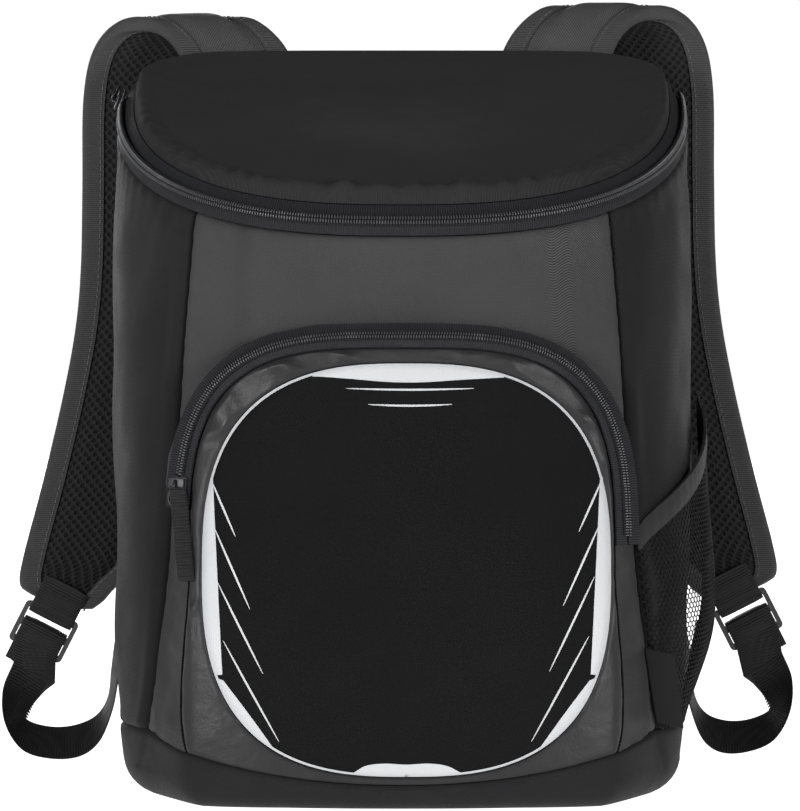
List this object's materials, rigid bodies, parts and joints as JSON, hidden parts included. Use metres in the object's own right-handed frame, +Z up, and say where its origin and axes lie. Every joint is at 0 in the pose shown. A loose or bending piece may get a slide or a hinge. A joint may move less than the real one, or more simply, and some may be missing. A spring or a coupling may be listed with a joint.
{
  "type": "insulated cooler backpack",
  "caption": "Insulated cooler backpack with a sloping zipped lid, an arched front pocket, a net side pocket and padded shoulder straps",
  "frame": {"origin": "centre of the base's flat underside, on the floor", "axes": "X runs across the bag, to the right as seen from the front; Y runs from the front pocket to the back panel; Z is up, from the base to the lid"},
  "size_m": [0.4238, 0.2734, 0.4031],
  "materials": {
    "shell_cloth": "fine twill, dark grey",
    "boot_cloth": "matte plain weave, charcoal",
    "lid_cloth": "plain weave with a soft sheen, black",
    "zip_tape": "knitted tape, dark grey",
    "zip_coil": "nylon coil, black",
    "pocket_cloth": "fine twill, black, with pale printed bands",
    "coated_cloth": "coated cloth with a sheen, grey",
    "black_plastic": "moulded plastic, black",
    "net": "open hexagonal net, black",
    "webbing": "woven webbing, black",
    "spacer_mesh": "spacer mesh with small pits, black"
  },
  "bodies": {
    "root": {"front_panel": "shell_cloth", "side_panel_left": "shell_cloth", "side_panel_right": "shell_cloth", "back_panel": "shell_cloth", "base_boot": "boot_cloth", "lid_panel": "lid_cloth", "lid_zip_tape_lower": "zip_tape", "lid_zip_tape_upper": "zip_tape", "lid_zip_coil": "zip_coil", "lid_zip_slider": "black_plastic", "pocket_panel": "pocket_cloth", "pocket_border": "coated_cloth", "pocket_gusset": "shell_cloth", "pocket_zip_tape_inner": "zip_tape", "pocket_zip_tape_outer": "zip_tape", "pocket_zip_coil": "zip_coil", "pocket_zip_slider": "black_plastic", "pocket_zip_pull": "webbing", "side_pocket_net": "net", "side_pocket_band": "webbing", "side_pocket_binding": "webbing", "side_label": "webbing", "strap_pad_left": "shell_cloth", "strap_pad_right": "shell_cloth", "strap_lining_left": "spacer_mesh", "strap_lining_right": "spacer_mesh", "strap_binding_left_outer": "webbing", "strap_binding_left_inner": "webbing", "strap_binding_right_outer": "webbing", "strap_binding_right_inner": "webbing", "ladder_lock_left": "black_plastic", "ladder_lock_right": "black_plastic", "buckle_loop_left": "webbing", "buckle_loop_right": "webbing", "adjuster_webbing_left": "webbing", "adjuster_webbing_right": "webbing", "webbing_anchor_left": "webbing", "webbing_anchor_right": "webbing"}
  },
  "joints": []
}
